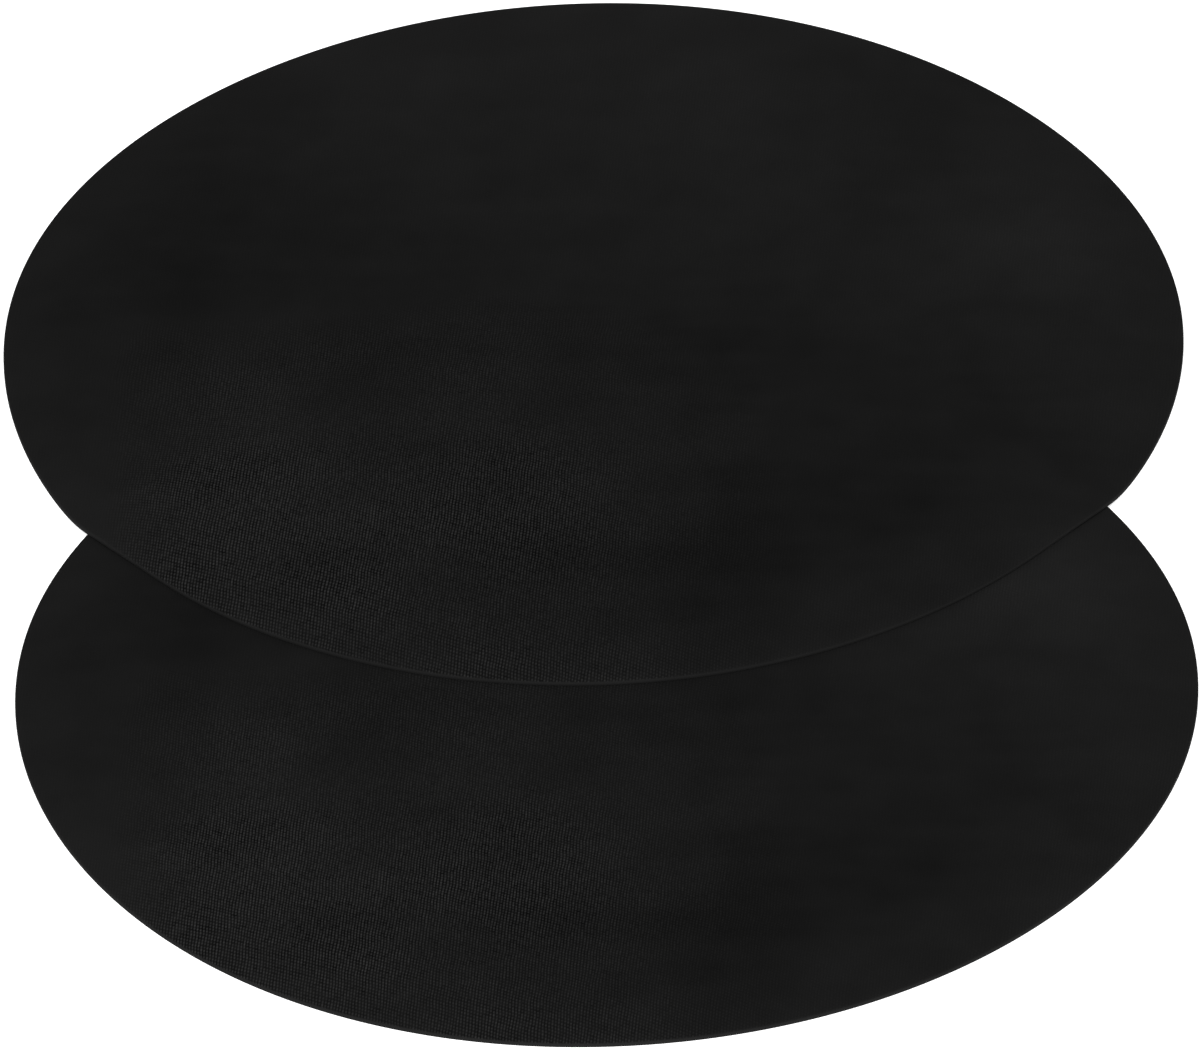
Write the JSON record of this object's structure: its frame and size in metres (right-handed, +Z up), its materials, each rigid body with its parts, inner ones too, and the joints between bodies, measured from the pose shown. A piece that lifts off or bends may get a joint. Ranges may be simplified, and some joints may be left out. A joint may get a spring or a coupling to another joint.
{
  "type": "wheel cover set",
  "caption": "Round black fabric covers for parked caravan wheels, with fold-under skirts and locking drawcord hems, laid flat with the rear one overlapping the front one.",
  "frame": {"origin": "on the floor, under the middle of the pair", "axes": "+Z up; +Y to the rear, from the front cover's centre to the rear cover's; +X to the right"},
  "size_m": [0.7, 1.052, 0.0237],
  "materials": {
    "cover_cloth": "near-black woven polyester with fine ribs, matte",
    "binding_tape": "black woven tape, matte",
    "elastic_cord": "black braided sheath over rubber strands",
    "lock_plastic": "black moulded, slightly textured",
    "button_plastic": "black moulded, smoother than the lock",
    "spring_steel": "bright drawn wire",
    "eyelet_metal": "blackened steel, worn brighter on the rim"
  },
  "bodies": {
    "front_cover": {"front_face_panel": "cover_cloth", "front_skirt_left": "cover_cloth", "front_skirt_right": "cover_cloth", "front_skirt_seam_tapes": "binding_tape", "front_rim_binding": "binding_tape", "front_hem_casing": "binding_tape", "front_hem_drawcord": "elastic_cord", "front_cord_eyelets": "eyelet_metal", "front_cord_end": "lock_plastic"},
    "front_lock": {"front_cord_lock_body": "lock_plastic", "front_cord_lock_spring": "spring_steel"},
    "front_lock_button": {"front_cord_lock_button": "button_plastic"},
    "rear_cover": {"rear_face_panel": "cover_cloth", "rear_skirt_left": "cover_cloth", "rear_skirt_right": "cover_cloth", "rear_skirt_seam_tapes": "binding_tape", "rear_rim_binding": "binding_tape", "rear_hem_casing": "binding_tape", "rear_hem_drawcord": "elastic_cord", "rear_cord_eyelets": "eyelet_metal", "rear_cord_end": "lock_plastic"},
    "rear_lock": {"rear_cord_lock_body": "lock_plastic", "rear_cord_lock_spring": "spring_steel"},
    "rear_lock_button": {"rear_cord_lock_button": "button_plastic"}
  },
  "joints": [
    {"name": "rear_cover_lift", "type": "slide", "parent": "front_cover", "child": "rear_cover", "axis": [0, 0, 1], "range_m": [0, 0.3]},
    {"name": "front_lock_slide", "type": "slide", "parent": "front_cover", "child": "front_lock", "axis": [0, -1, 0], "range_m": [0, 0.028]},
    {"name": "front_lock_press", "type": "slide", "parent": "front_lock", "child": "front_lock_button", "axis": [-1, 0, 0], "range_m": [0, 0.003], "stiffness_N_per_m": 300, "springref_m": -0.004, "deforming": ["front_cord_lock_spring"]},
    {"name": "rear_lock_slide", "type": "slide", "parent": "rear_cover", "child": "rear_lock", "axis": [0, -1, 0], "range_m": [0, 0.028]},
    {"name": "rear_lock_press", "type": "slide", "parent": "rear_lock", "child": "rear_lock_button", "axis": [-1, 0, 0], "range_m": [0, 0.003], "stiffness_N_per_m": 300, "springref_m": -0.004, "deforming": ["rear_cord_lock_spring"]}
  ]
}
